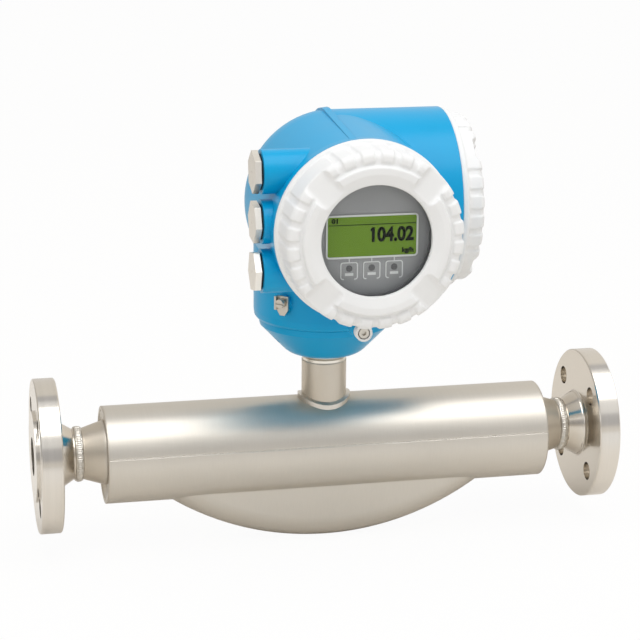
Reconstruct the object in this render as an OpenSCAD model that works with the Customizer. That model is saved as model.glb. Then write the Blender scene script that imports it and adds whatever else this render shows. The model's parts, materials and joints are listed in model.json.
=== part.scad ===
// Coriolis mass flow meter: two bent measuring tubes in a welded steel body between two flanges,
// with a cast transmitter housing that turns on the neck above them.
// The flow runs along +X, the display looks along -Y and +Z is up.
// The origin is the middle of the inlet flange's raised face.

/* [Flow line] */
// Length between the two raised faces
face_to_face = 440; // [420:1:520]
// Outer diameter of each flange
flange_d = 115; // [108:1:130]
// Thickness of the flange plate behind its raised face
flange_t = 16; // [12:1:20]
// Diameter of the raised sealing face
raised_d = 68; // [60:1:69]
// Height of the raised sealing face
raised_h = 2; // [1:0.5:3]
// Diameter of the flow bore
bore_d = 28.5; // [24:0.5:30]
// Diameter of the circle through the bolt holes
bolt_circle_d = 85; // [84:1:92]
// Diameter of each bolt hole
bolt_hole_d = 14; // [10:0.5:15]
// Number of bolt holes in each flange
bolt_count = 4; // [4, 8]
// Diameter of the hub where it leaves the flange
hub_root_d = 49; // [44:1:54]
// Diameter of the hub at its weld
hub_d = 38; // [35:0.5:42]
// Length of the hub behind the flange
hub_l = 15; // [12:1:18]
// Width of the butt welds
weld_w = 6.5; // [4:0.5:8]
// Height of a weld bead over the metal beside it
weld_h = 1.3; // [0.5:0.1:2]

/* [Sensor body] */
// Length of each manifold's cone between its weld and the body tube
cone_l = 19; // [14:0.5:24]
// Outer diameter of the body tube
body_d = 73; // [71:0.5:78]
// Drop of the tube's axis below the flow line
body_drop = 2; // [0:0.5:3]
// Wall of the body tube
body_wall = 3.2; // [2:0.1:4]
// Depth of each end wall inside the tube
end_recess = 3; // [2:0.5:5]
// Thickness of each end wall
end_wall_t = 12; // [10:0.5:14]
// Diameter of the manifold's cone at the end wall
cone_d = 48; // [44:1:54]
// Height of the long seam over the flow line
seam_h = 5; // [0:0.5:8]
// Width of the long seam
seam_w = 4.4; // [3:0.2:6]
// Height of the long seam over the tube
seam_t = 0.7; // [0.4:0.1:1.2]
// Depth of the belly below the flow line
belly_depth = 74; // [72:0.5:84]
// Distance of the belly's root from each end of the body tube
belly_margin = 51; // [44:1:60]
// Width of the belly
belly_w = 46; // [44:0.5:52]
// Rounding of the belly's edge
belly_edge_r = 18; // [14:0.5:19]
// Wall of the belly
belly_wall = 2.5; // [1.5:0.1:3]

/* [Measuring tubes] */
// Outer diameter of each measuring tube
tube_d = 15; // [12:0.5:15.5]
// Wall of each measuring tube
tube_wall = 1; // [0.6:0.1:1.5]
// Distance between the two tubes' centre lines
tube_pitch = 23; // [22:0.5:23.5]
// Drop of the bent tubes in the middle
tube_sag = 56; // [50:0.5:58]
// Straight run of each tube between its end wall and its first bend
tube_run = 9.5; // [6:0.5:14]
// Radius of the bend at each end of a tube
end_bend_r = 66; // [50:1:80]
// Length of tube held in each end wall
tube_socket = 8; // [4:0.5:9]
// Thickness of the brace plates that tie the two tubes
brace_t = 3; // [2:0.5:4]
// Diameter of the drive and pick-off coils
coil_d = 14; // [10:0.5:16]
// Diameter of the magnets
magnet_d = 7.2; // [5:0.2:8]
// Angle of the pick-offs along the long bend
pickoff_angle = 34; // [28:0.5:38]

/* [Neck] */
// Outer diameter of the neck tube
neck_d = 33.7; // [32:0.1:36]
// Wall of the neck tube
neck_wall = 2.6; // [2:0.1:3.5]
// Height of the neck tube's upper end over the flow line
neck_top = 63.5; // [56:0.5:72]
// Leg of the fillet weld under the neck
neck_weld = 3; // [2:0.25:4]
// Diameter of the collar that carries the adapter
collar_d = 37.6; // [36.5:0.1:38]
// Height of the collar
collar_h = 5.2; // [4.5:0.1:8]
// Diameter of the spigot that the transmitter turns on
spigot_d = 32; // [30:0.25:33]
// Length of the spigot above the collar
spigot_l = 22; // [18:0.5:24]
// Bore of the spigot
spigot_bore = 20; // [14:0.5:22]

/* [Adapter] */
// Height of the cast adapter
adapter_h = 28; // [27:0.5:34]
// Diameter of the adapter's upper rim
adapter_d = 99; // [95:1:101]
// Diameter of the adapter's foot
adapter_foot_d = 38.4; // [38:0.2:42]
// Radius of the bend above the foot
adapter_bend_r = 17; // [12:0.5:20]
// Height of the upright band below the rim
adapter_band = 5; // [3:0.5:8]
// Wall of the adapter
adapter_wall = 4.5; // [3:0.5:6]
// Diameter of the locking set screw
set_screw_d = 6; // [4:0.5:8]
// Thickness of the gasket between the adapter and the housing
gasket_t = 0.5; // [0.4:0.1:1.2]

/* [Housing] */
// Diameter of the round base over the adapter
base_d = 106; // [103:1:110]
// Distance from the neck's axis to the front rim
front_reach = 107; // [104:1:116]
// Side offset of the front chamber from the neck's axis
front_shift = 4; // [2:0.5:6]
// Height of the front chamber's axis over the base's lower face
front_rise = 86.5; // [84:0.5:92]
// Distance from the neck's axis to the side rim
side_reach = 83; // [81:1:92]
// Distance of the barrel's axis behind the neck's axis, towards the display
barrel_shift = 12; // [10:0.5:14]
// Height of the barrel's axis over the base's lower face
barrel_rise = 89; // [86:0.5:92]
// Diameter of the barrel
barrel_d = 133.6; // [132:0.5:136]
// Height of the ridge between the dome and the barrel
ridge_h = 2; // [1:0.25:3]
// Width of the ridge
ridge_w = 5; // [3:0.5:7]
// Side offset of the dome's centre from the neck's axis
dome_shift = 5.5; // [4.5:0.5:7]
// Wall of the housing
housing_wall = 6; // [4:0.5:7]
// Diameter of each cable boss
boss_d = 31; // [29:0.5:33]
// Distance between neighbouring cable bosses
boss_pitch = 35; // [34:0.5:36]
// Distance of the cable bosses from the neck's axis, towards the display
boss_front = 84; // [82:0.5:86]
// How far each cable boss stands out past the front rim
boss_proud = 4.7; // [3:0.1:8]
// Height of the middle cable boss over the base's lower face
boss_rise = 91; // [88:0.5:94]

/* [Covers] */
// Diameter of the front cover's ring
front_ring_d = 129; // [127:0.5:131]
// Diameter of the side cover's ring
side_ring_d = 132.4; // [130:0.5:133]
// Thickness of each cover's ring
ring_t = 5; // [4:0.5:7]
// Distance of the front cover's ribbed wall inside its ring's edge
front_grip_inset = 2.5; // [2:0.1:4]
// Distance of the side cover's ribbed wall inside its ring's edge
side_grip_inset = 4.2; // [3:0.1:5]
// Height of the front cover over the rim
front_cover_h = 37; // [35:0.5:42]
// Height of the side cover over the rim
side_cover_h = 20; // [18:0.5:26]
// Distance of a cover's raised face inside its ribbed wall
face_inset = 10.5; // [10:0.5:12]
// Number of grip grooves between two tool recesses
groove_count = 5; // [1:1:5]
// Angle between neighbouring grip grooves
groove_pitch = 13.5; // [10:0.5:14]
// Width of each grip groove
groove_w = 5.3; // [3:0.1:6.5]
// Depth of each grip groove
groove_depth = 1.2; // [0.5:0.1:1.4]
// Width of each tool recess in a cover's face
recess_w = 20.5; // [16:0.5:24]
// Depth of each tool recess at the rim
recess_depth = 6.2; // [5:0.1:7]
// Distance of the window's edge inside the display module's edge
window_inset = 7.5; // [6.5:0.5:10]
// Thickness of the window glass
glass_t = 6; // [5:0.5:7]
// Length of the threaded spigot on each cover
thread_l = 12; // [8:0.5:13]

/* [Display] */
// Gap round the display module, inside the front cover
display_gap = 6; // [3:0.5:9]
// Distance from the rim to the display's face
display_rise = 20; // [18:0.5:21]
// Width of the screen
screen_w = 62; // [50:0.5:66]
// Height of the screen
screen_h = 27.5; // [20:0.5:30]
// Width of each touch key
key_w = 12.4; // [9:0.2:13.5]
// Distance between neighbouring touch keys
key_pitch = 15.8; // [14.5:0.1:17]

/* [Plugs and clamps] */
// Width across the flats of each plug's hexagon
plug_flats = 26; // [24:0.5:27]
// Height of each plug's hexagon
plug_h = 4.5; // [3:0.5:7]
// Diameter of the cable thread
cable_d = 20; // [16:0.5:20.5]
// Length of each plug's thread
plug_l = 12; // [8:0.5:13]
// Diameter of each cover clamp
clamp_d = 12; // [10:0.5:13]
// Diameter of each clamp screw's thread
clamp_screw_d = 4; // [3:0.25:5]

/* [Hidden] */

$fn = 96;
steel = "#b9b2a6";
bright_steel = "#d4d1ca";
blue = "#1f8fce";
white = "#e8e8e6";
black = "#2b2b2d";

fit_gap = 0.06;      // radial clearance of the swivel and the display's bearing
thread_gap = 0.3;    // radial clearance between a male and a female thread
seal_gap = 0.1;      // clearance round a seal that moves with its cover or plug
swivel_gap = 0.3;    // axial clearance under the adapter and behind the display
over = 1;            // how far a cutting shape runs past what it cuts

mid_x = face_to_face / 2;
hub_end = raised_h + flange_t + hub_l;
body_start = hub_end + cone_l;
body_l = 2 * (mid_x - body_start);
body_r = body_d / 2;
body_bore_r = body_r - body_wall;
end_wall_x = body_start + end_recess;
end_face_x = end_wall_x + end_wall_t;
tube_r = tube_d / 2;
tube_y = tube_pitch / 2;

// The belly's outline is the arc that meets the body tube's lower side at its two roots.
belly_half = body_l / 2 - belly_margin;
belly_sagitta = belly_depth - body_r - body_drop;
belly_r = (belly_half * belly_half + belly_sagitta * belly_sagitta) / (2 * belly_sagitta);
belly_z = belly_r - belly_depth;

// The tube leaves the end wall level, bends down by bend_angle and joins the long bend.
bend_start = end_face_x + tube_run;
bend_angle = 2 * atan(tube_sag / (mid_x - bend_start));
long_bend_r = (mid_x - bend_start) / sin(bend_angle) - end_bend_r;
long_bend_z = long_bend_r - tube_sag;
tube_start = end_face_x - tube_socket;

neck_r = neck_d / 2;
collar_top = neck_top + collar_h;
adapter_z = collar_top + swivel_gap;
rim_z = adapter_z + adapter_h;
base_z = rim_z + gasket_t;
set_screw_z = adapter_z + 13;
set_screw_turn = 190;

front_x = mid_x + front_shift;
front_z = base_z + front_rise;
barrel_z = base_z + barrel_rise;
side_x = mid_x + side_reach;
barrel_r = barrel_d / 2;
dome_r = barrel_r + 0.4;
front_rim_r = front_ring_d / 2 - 0.2;
boss_x = front_x - front_rim_r - boss_proud;
rim_l = 8;
front_thread_r = front_ring_d / 2 - 7.3;
side_thread_r = side_ring_d / 2 - 7.3;
chamber_r = front_thread_r - 3.7;
shoulder_y = front_reach - 19;
split_x = mid_x + 37;
partition_t = 5;
clamp_clear = 1;

cover_wall = 5.2;
cover_bore_r = front_thread_r - cover_wall;
front_grip_r = front_ring_d / 2 - front_grip_inset;
side_grip_r = side_ring_d / 2 - side_grip_inset;
display_r = cover_bore_r - display_gap;
window_r = display_r - window_inset;
glass_r = window_r + 5.5;
bevel_r = window_r + 7.5;
window_lip_z = front_cover_h - 2.5;
glass_z = window_lip_z - 3.5;
seal_t = 1.3;
plug_seal_t = 1.3;
carrier_h = 6;
bearing_r = 20;

// ---- Shared shapes ---------------------------------------------------------------------------

// Points of an arc about [cx, cy] from angle a0 to a1.
function arc(cx, cy, r, a0, a1, n = 8) =
    [for (i = [0:n]) let (a = a0 + (a1 - a0) * i / n) [cx + r * cos(a), cy + r * sin(a)]];

module ring(outer_r, inner_r, h) {
    difference() {
        cylinder(r = outer_r, h = h);
        translate([0, 0, -over]) cylinder(r = inner_r, h = h + 2 * over);
    }
}

// A round bar along X.
module bar_x(r, x0, x1) {
    translate([x0, 0, 0]) rotate([0, 90, 0]) cylinder(r = r, h = x1 - x0);
}

// A profile of [radius, x] points turned about the flow line.
module turned_x(points) {
    rotate([0, 90, 0]) rotate_extrude() polygon(points);
}

// Draws its children once for the inlet, or mirrored to the outlet.
module at_end(outlet) {
    if (outlet) translate([face_to_face, 0, 0]) mirror([1, 0, 0]) children();
    else children();
}

module at_body() { translate([0, 0, -body_drop]) children(); }

module at_neck(z = 0) { translate([mid_x, 0, z]) children(); }

// Local +Z points out of the front rim, towards -Y.
module at_front() { translate([front_x, -front_reach, front_z]) rotate([90, 0, 0]) children(); }

// Local +Z points out of the side rim, towards +X; local +X points down.
module at_side() { translate([side_x, -barrel_shift, barrel_z]) rotate([0, 90, 0]) children(); }

// Local +Z points out of a cable boss, towards -X.
module at_boss(row) {
    translate([boss_x, -boss_front, base_z + boss_rise + row * boss_pitch]) rotate([0, -90, 0]) children();
}

// ---- Flow line -------------------------------------------------------------------------------

module flange(outlet) {
    root_r = hub_root_d / 2;
    plate_end = raised_h + flange_t;
    edge = 0.8;
    color(bright_steel) at_end(outlet) difference() {
        turned_x(concat(
            [[bore_d / 2, 0], [raised_d / 2, 0], [raised_d / 2, raised_h],
             [flange_d / 2 - edge, raised_h], [flange_d / 2, raised_h + edge],
             [flange_d / 2, plate_end - edge], [flange_d / 2 - edge, plate_end], [root_r + 2, plate_end]],
            arc(root_r + 2, plate_end + 2, 2, 270, 180, 4),
            [[hub_d / 2, hub_end - 4], [hub_d / 2, hub_end], [bore_d / 2, hub_end]]));
        for (i = [0:bolt_count - 1]) rotate([(i + 0.5) * 360 / bolt_count, 0, 0])
            translate([-over, 0, bolt_circle_d / 2]) rotate([0, 90, 0])
                cylinder(d = bolt_hole_d, h = plate_end + 3 * over, $fn = 48);
    }
}

// Two low passes side by side over the butt joint.
module butt_weld(outlet) {
    pass_w = weld_w / 2;
    pass_r = (pass_w * pass_w / 4 + weld_h * weld_h) / (2 * weld_h);
    half = asin(pass_w / 2 / pass_r);
    color(steel) at_end(outlet) translate([hub_end - pass_w, 0, 0]) turned_x(concat(
        [[hub_d / 2, 2 * pass_w], [hub_d / 2, 0]],
        [for (i = [0, 1]) each arc2(hub_d / 2 + weld_h - pass_r, (i + 0.5) * pass_w, pass_r, half)]));
}

// Points of a low arc, seen as [radius, x], that bulges outwards by its angle to either side.
function arc2(r0, x0, r, half, n = 6) =
    [for (i = [0:n]) let (a = -half + 2 * half * i / n) [r0 + r * cos(a), x0 + r * sin(a)]];

// Casting that closes the body tube and splits the flow between the two tubes.
module manifold(outlet) {
    throat = hub_end + (end_wall_x - hub_end) * 0.75;
    fork_x = tube_start - throat;
    fork_y = tube_y - tube_r / 2;
    color(steel) at_end(outlet) difference() {
        union() {
            turned_x([[0, hub_end], [hub_d / 2, hub_end], [hub_d / 2, hub_end + weld_w / 2],
                      [cone_d / 2, body_start], [cone_d / 2, end_wall_x + over], [0, end_wall_x + over]]);
            at_body() bar_x(body_bore_r, end_wall_x, end_face_x);
        }
        bar_x(bore_d / 2, hub_end - over, throat);
        for (side = [-1, 1]) {
            translate([throat - 2, side * tube_r / 2, 0])
                rotate([0, 90, side * atan(fork_y / fork_x)])
                    cylinder(r = tube_r - tube_wall, h = fork_x + 5);
            translate([0, side * tube_y, 0]) bar_x(tube_r, tube_start, end_face_x + over);
        }
    }
}

// ---- Sensor body -----------------------------------------------------------------------------

// A disc on edge with a rounded rim: the form of the belly.
module belly_disc(r, w, edge_r) {
    translate([mid_x, 0, belly_z]) rotate([90, 0, 0]) rotate_extrude($fn = 180) {
        translate([0, -w / 2]) square([r - edge_r, w]);
        translate([0, -w / 2 + edge_r]) square([r, w - 2 * edge_r]);
        for (side = [-1, 1]) translate([r - edge_r, side * (w / 2 - edge_r)]) circle(r = edge_r, $fn = 48);
    }
}

// The lower part of a belly disc, below the level z.
module belly_form(r, w, edge_r, z) {
    intersection() {
        belly_disc(r, w, edge_r);
        translate([mid_x - r, -w, -belly_depth - over]) cube([2 * r, 2 * w, belly_depth + over + z]);
    }
}

module upper_shell() {
    color(steel) difference() {
        at_body() difference() {
            bar_x(body_r, body_start, body_start + body_l);
            bar_x(body_bore_r, body_start - over, body_start + body_l + over);
        }
        translate([body_start - over, -body_d, seam_h - 2 * body_d])
            cube([body_l + 2 * over, 2 * body_d, 2 * body_d]);
        at_neck() cylinder(r = neck_r - neck_wall - 2, h = body_d);
    }
}

module belly_shell() {
    color(steel) intersection() {
        difference() {
            union() {
                at_body() bar_x(body_r, body_start, body_start + body_l);
                belly_form(belly_r, belly_w, belly_edge_r, -body_r / 2);
            }
            at_body() bar_x(body_bore_r, body_start - over, body_start + body_l + over);
            belly_form(belly_r - belly_wall, belly_w - 2 * belly_wall, belly_edge_r - belly_wall,
                       -body_r / 2 + over);
        }
        translate([body_start, -body_d, seam_h - 2 * body_d]) cube([body_l, 2 * body_d, 2 * body_d]);
    }
}

// Weld along the tube's side, where the two shells meet.
module long_seam(side) {
    run = body_l - 2 * end_recess;
    color(bright_steel) translate([body_start + end_recess, 0, -body_drop]) rotate([90, 0, 90])
        linear_extrude(height = run) intersection() {
            difference() {
                circle(r = body_r + seam_t);
                circle(r = body_r);
            }
            translate([side > 0 ? 0 : -body_d, seam_h + body_drop - seam_w / 2]) square([body_d, seam_w]);
        }
}

// Fillet weld between the end wall and the tube's lip.
module end_weld(outlet) {
    leg = end_recess - 0.6;
    color(bright_steel) at_end(outlet) at_body()
        turned_x([[body_bore_r, end_wall_x], [body_bore_r - leg, end_wall_x],
                  [body_bore_r, end_wall_x - leg]]);
}

// ---- Measuring tubes -------------------------------------------------------------------------

// One bend of a round bar in the XZ plane about [x, z], from angle a0 over the angle da.
module bar_bend(r, x, z, bend_r, a0, da) {
    translate([x, 0, z]) rotate([90, 0, 0]) rotate([0, 0, a0])
        rotate_extrude(angle = da, $fn = 120) translate([bend_r, 0]) circle(r = r, $fn = 32);
}

// Half of the tube's path as a solid bar; its outer end runs on by the length extra.
// The end bend is a hair thinner and laps into its neighbours, as a drawn bend does.
module half_path(r, extra) {
    thinning = 0.02;
    lap = 0.5;
    bar_x(r, tube_start - extra, bend_start);
    bar_bend(r - thinning, bend_start, -end_bend_r, end_bend_r, 90 - bend_angle - lap, bend_angle + 2 * lap);
}

module tube_path(side, r, extra = 0) {
    translate([0, side * tube_y, 0]) {
        half_path(r, extra);
        translate([2 * mid_x, 0, 0]) mirror([1, 0, 0]) half_path(r, extra);
        bar_bend(r, mid_x, long_bend_z, long_bend_r, 270 - bend_angle, 2 * bend_angle);
    }
}

module measuring_tube(side) {
    difference() {
        tube_path(side, tube_r);
        tube_path(side, tube_r - tube_wall, over);
    }
}

module brace(outlet) {
    margin = 3;
    color(steel) at_end(outlet) translate([end_face_x + margin, 0, 0]) difference() {
        translate([0, -tube_y - tube_r - margin, -tube_r - margin])
            cube([brace_t, tube_pitch + tube_d + 2 * margin, tube_d + 2 * margin]);
        for (side = [-1, 1]) translate([0, side * tube_y, 0]) bar_x(tube_r, -over, brace_t + over);
    }
}

// Draws its children on the tubes' long bend, with local +Z towards the bend's centre.
module on_bend(angle) {
    translate([mid_x, 0, long_bend_z]) rotate([0, angle, 0]) translate([0, 0, -long_bend_r]) children();
}

coil_z = tube_r + 9;
coil_l = 8;
coil_bracket_t = 3;

module coil_bracket(side) {
    w = coil_d + 2;
    translate([-w / 2, side * tube_y - coil_bracket_t / 2, tube_r - 2])
        cube([w, coil_bracket_t, coil_z + coil_d / 2 - tube_r + 2]);
}

module coil(angle) {
    color("#b8713a") difference() {
        on_bend(angle) difference() {
            union() {
                coil_bracket(-1);
                translate([0, -tube_y, coil_z]) rotate([-90, 0, 0])
                    cylinder(d = coil_d, h = coil_l + coil_bracket_t / 2);
            }
            translate([0, -tube_y - 2 * over, coil_z]) rotate([-90, 0, 0])
                cylinder(d = magnet_d + 1.2, h = tube_pitch);
        }
        tube_path(-1, tube_r);
    }
}

module magnet(angle) {
    color("#8d9196") difference() {
        on_bend(angle) {
            coil_bracket(1);
            translate([0, -tube_y / 2, coil_z]) rotate([-90, 0, 0]) cylinder(d = magnet_d, h = 1.5 * tube_y);
        }
        tube_path(1, tube_r);
    }
}

module temperature_sensor() {
    color(black) difference() {
        on_bend(pickoff_angle / 2) translate([-5, -tube_y - 2.5, tube_r - 1.5]) cube([10, 5, 4]);
        tube_path(-1, tube_r);
    }
}

// ---- Neck ------------------------------------------------------------------------------------

module neck_tube() {
    color(steel) difference() {
        at_neck() ring(neck_r, neck_r - neck_wall, neck_top);
        at_body() bar_x(body_r, body_start, body_start + body_l);
    }
}

// Fillet weld that follows the saddle between the neck and the body tube.
module neck_weld_bead() {
    color(bright_steel) difference() {
        intersection() {
            at_neck() ring(neck_r + neck_weld, neck_r, neck_top);
            at_body() bar_x(body_r + neck_weld, body_start, body_start + body_l);
        }
        at_body() bar_x(body_r, body_start, body_start + body_l);
    }
}

seal_section = 3.2;
swivel_seal_z = collar_top + spigot_l - 6;

module swivel_spigot() {
    waist = 0.5;
    color(steel) at_neck() difference() {
        rotate_extrude() polygon([
            [spigot_bore / 2, neck_top], [neck_r - waist, neck_top], [neck_r - waist, neck_top + 2],
            [collar_d / 2, collar_top - 0.8], [collar_d / 2, collar_top], [spigot_d / 2, collar_top],
            [spigot_d / 2, collar_top + spigot_l], [spigot_bore / 2, collar_top + spigot_l]]);
        translate([0, 0, swivel_seal_z - seal_section / 2])
            ring(spigot_d / 2 + over, spigot_d / 2 - seal_section, seal_section);
    }
}

module swivel_seal() {
    color(black) at_neck(swivel_seal_z) rotate_extrude()
        translate([(spigot_d - seal_section) / 2, 0]) circle(d = seal_section, $fn = 32);
}

module feedthrough() {
    pins = 9;
    plate_t = 4;
    color(bright_steel) at_neck(neck_top - 6) {
        cylinder(r = neck_r - neck_wall, h = plate_t);
        for (i = [0:pins - 1]) rotate([0, 0, i * 360 / pins]) translate([spigot_bore / 4, 0, -3])
            cylinder(d = 1.2, h = plate_t + 8, $fn = 16);
    }
}

// ---- Adapter ---------------------------------------------------------------------------------

module neck_adapter() {
    foot_r = adapter_foot_d / 2;
    rim_r = adapter_d / 2;
    slope = 46;
    bend_x = foot_r + adapter_bend_r * sin(slope);
    floor_z = adapter_h - 11;
    hub_r = spigot_d / 2 + 9;
    color(blue) at_neck(adapter_z) difference() {
        rotate_extrude() polygon(concat(
            arc(foot_r, adapter_bend_r, adapter_bend_r, 270, 270 + slope, 8),
            [[rim_r - 1, adapter_h - adapter_band], [rim_r, adapter_h], [rim_r - adapter_wall, adapter_h],
             [rim_r - adapter_wall - 1, adapter_h - adapter_band], [rim_r - adapter_wall - 8, floor_z],
             [hub_r, floor_z], [hub_r, adapter_h - 2], [spigot_d / 2 + fit_gap, adapter_h - 2],
             [spigot_d / 2 + fit_gap, 0]]));
        translate([0, 0, set_screw_z - adapter_z]) rotate([0, 90, set_screw_turn])
            cylinder(d = set_screw_d, h = adapter_d, $fn = 32);
    }
}

module adapter_gasket() {
    color(black) at_neck(rim_z) ring(adapter_d / 2 - 0.5, adapter_d / 2 - adapter_wall + 0.3, gasket_t);
}

// Socket set screw that presses on the spigot and locks the transmitter.
module set_screw() {
    tip = spigot_d / 2 + swivel_gap;
    length = 17;
    socket = set_screw_d / 2;
    color(black) at_neck(set_screw_z) rotate([0, 90, set_screw_turn]) translate([0, 0, tip]) difference() {
        cylinder(d = set_screw_d - 2 * fit_gap, h = length, $fn = 32);
        translate([0, 0, length - socket]) cylinder(d = socket * 1.15, h = socket + over, $fn = 6);
    }
}

// ---- Housing ---------------------------------------------------------------------------------

clamp_front_angle = -91;
clamp_side_angle = 8;
ground_angle = 225;
ground_rise = 21;
ground_r = base_d / 2 + 2.5;
ground_screw_d = 4;
lug_depth = 12;
lug_gap = 1;

function clamp_radius(ring_d) = ring_d / 2 + clamp_d / 2 + clamp_clear;

// Draws its children on the clamp's axis, with the cover's axis as local Z.
module at_clamp(ring_d, angle) { rotate([0, 0, angle]) translate([clamp_radius(ring_d), 0, 0]) children(); }

module clamp_lug(ring_d, angle) {
    r = clamp_d / 2 + 1;
    at_clamp(ring_d, angle) translate([0, 0, -lug_depth - lug_gap]) {
        cylinder(r = r, h = lug_depth);
        translate([-1.6 * clamp_d, -r, 0]) cube([1.6 * clamp_d, 2 * r, lug_depth]);
    }
}

module clamp_lug_hole(ring_d, angle) {
    at_clamp(ring_d, angle) translate([0, 0, -lug_depth - lug_gap - over])
        cylinder(d = clamp_screw_d + 2 * thread_gap, h = lug_depth + 2 * over, $fn = 32);
}

module at_dome() { translate([mid_x + dome_shift, -barrel_shift, barrel_z]) children(); }

// Local +Z runs from the dome's centre to the middle of the front rim.
module at_chamber() {
    run = front_reach - barrel_shift;
    at_dome() rotate([90 + atan((barrel_rise - front_rise) / run), 0, 0])
        rotate([0, -atan((dome_shift - front_shift) / run), 0]) children();
}

// Left of the barrel: the domed end of radius r, and the chamber that tapers forward from it to the
// front rim. Only the strip of width w beside the barrel is drawn. The taper starts a little inside
// the dome's surface, by inset, so that a narrow strip's edges stay clear of each other.
module dome_form(r, rim_r, w, inset = 0) {
    run = front_reach - barrel_shift - rim_l / 2;
    touch = atan(run / rim_r) - acos(r / norm([run, rim_r]));
    start = r - inset;
    at_chamber() intersection() {
        rotate_extrude($fn = 128) {
            intersection() {
                circle(r = r);
                translate([0, -r]) square([r, 2 * r]);
            }
            polygon([[0, 0], [start * cos(touch), start * sin(touch)], [rim_r, run], [0, run]]);
        }
        translate([-w - dome_shift, -2 * r, -2 * r]) cube([w, 4 * r, 4 * r]);
    }
}

module housing_outer() {
    inner_cone = 0.7;
    dome_form(dome_r, front_rim_r - 0.4, 2 * dome_r);
    dome_form(barrel_r + ridge_h, front_rim_r - 0.2, ridge_w, 0.05);
    at_chamber() cylinder(r1 = barrel_r - inner_cone, r2 = front_rim_r - inner_cone,
                          h = front_reach - barrel_shift - rim_l / 2 - 0.5, $fn = 128);
    translate([mid_x - over, -barrel_shift, barrel_z]) rotate([0, 90, 0])
        cylinder(r = barrel_r, h = side_x - mid_x + over, $fn = 180);
    at_front() translate([0, 0, -rim_l]) cylinder(r = front_rim_r, h = rim_l, $fn = 180);
    at_neck(base_z) rotate_extrude() polygon([
        [0, 0], [base_d / 2 - 2, 0], [base_d / 2 - 0.5, 2], [base_d / 2, 6], [base_d / 2, barrel_rise - 3],
        [0, barrel_rise - 3]]);
    for (row = [-1:1]) at_boss(row) translate([0, 0, -45]) cylinder(d = boss_d, h = 45);
    at_front() clamp_lug(front_ring_d, clamp_front_angle);
    at_side() clamp_lug(side_ring_d, clamp_side_angle);
    at_neck(base_z + ground_rise) rotate([0, 90, ground_angle]) cylinder(r = 5.5, h = ground_r);
}

// Room for the electronics, behind the display.
module electronics_room() {
    depth = front_reach - shoulder_y;
    room_r = dome_r - housing_wall + 1;
    at_front() {
        translate([0, 0, -depth]) cylinder(r = front_thread_r + thread_gap, h = depth + over);
        translate([0, 0, -31]) cylinder(r = chamber_r, h = 31);
    }
    intersection() {
        at_front() translate([0, 0, -2 * front_reach]) cylinder(r = chamber_r, h = 2 * front_reach - 30);
        at_dome() rotate([90, 0, 0]) rotate_extrude($fn = 64)
            polygon(concat([[0, front_reach], [0, -room_r]], arc(0, 0, room_r, -80, 0, 8),
                           [[room_r, front_reach]]));
        translate([mid_x - 2 * dome_r, -front_reach, 0])
            cube([2 * dome_r + split_x - mid_x, 3 * dome_r, 2 * front_z]);
    }
}

// Room for the terminals, under the side cover.
module terminal_room() {
    depth = side_x - split_x - partition_t;
    at_side() {
        translate([0, 0, -thread_l - 5]) cylinder(r = side_thread_r + thread_gap, h = thread_l + 5 + over);
        translate([0, 0, -depth]) cylinder(r = side_thread_r - 3, h = depth);
    }
}

module housing() {
    color(blue) difference() {
        housing_outer();
        electronics_room();
        terminal_room();
        at_neck(base_z - over) cylinder(r = adapter_d / 2 - adapter_wall, h = 20 + over);
        at_neck(base_z) cylinder(r = spigot_d / 2 + 4, h = front_rise);
        for (row = [-1:1]) at_boss(row) translate([0, 0, -30])
            cylinder(d = cable_d + 2 * thread_gap, h = 30 + over, $fn = 64);
        at_front() clamp_lug_hole(front_ring_d, clamp_front_angle);
        at_side() clamp_lug_hole(side_ring_d, clamp_side_angle);
        at_neck(base_z + ground_rise) rotate([0, 90, ground_angle])
            translate([0, 0, ground_r - 10])
                cylinder(d = ground_screw_d + 2 * thread_gap, h = 10 + over, $fn = 32);
        translate([split_x - over, -barrel_shift - 25, barrel_z - 30]) rotate([0, 90, 0])
            cylinder(r = 8, h = partition_t + 2 * over);
    }
}

// Square clamp with a side wall that keeps it from turning and a tongue that points down.
module ground_clamp() {
    plate = 10;
    half = plate / 2;
    color(bright_steel) at_neck(base_z + ground_rise) rotate([0, 0, ground_angle]) translate([ground_r, 0, 0])
        difference() {
            union() {
                rotate([90, 0, 90]) linear_extrude(height = 2) polygon([
                    [-half, -half], [-2, -half - 4.5], [2, -half - 4.5], [half, -half], [half, half],
                    [-half, half]]);
                translate([0, -half, -half]) cube([5, 1.6, plate]);
            }
            translate([-over, 0, 0]) rotate([0, 90, 0])
                cylinder(d = ground_screw_d + 2 * thread_gap, h = 4, $fn = 32);
        }
}

module ground_screw() {
    color(bright_steel) at_neck(base_z + ground_rise) rotate([0, 90, ground_angle])
        translate([0, 0, ground_r]) difference() {
            union() {
                translate([0, 0, -8]) cylinder(d = ground_screw_d, h = 10.2, $fn = 32);
                translate([0, 0, 2]) cylinder(r = 3, h = 1);
                translate([0, 0, 3]) cylinder(r = 3.3, h = 3);
            }
            translate([-0.6, -5, 4.8]) cube([1.2, 10, 2]);
        }
}

// ---- Electronics -----------------------------------------------------------------------------

module_gap = 3.5;        // clearance round the electronics module
module_back = front_reach - 45;
module_neck = 30;        // depth at which the module narrows to the left part of the room

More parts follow.
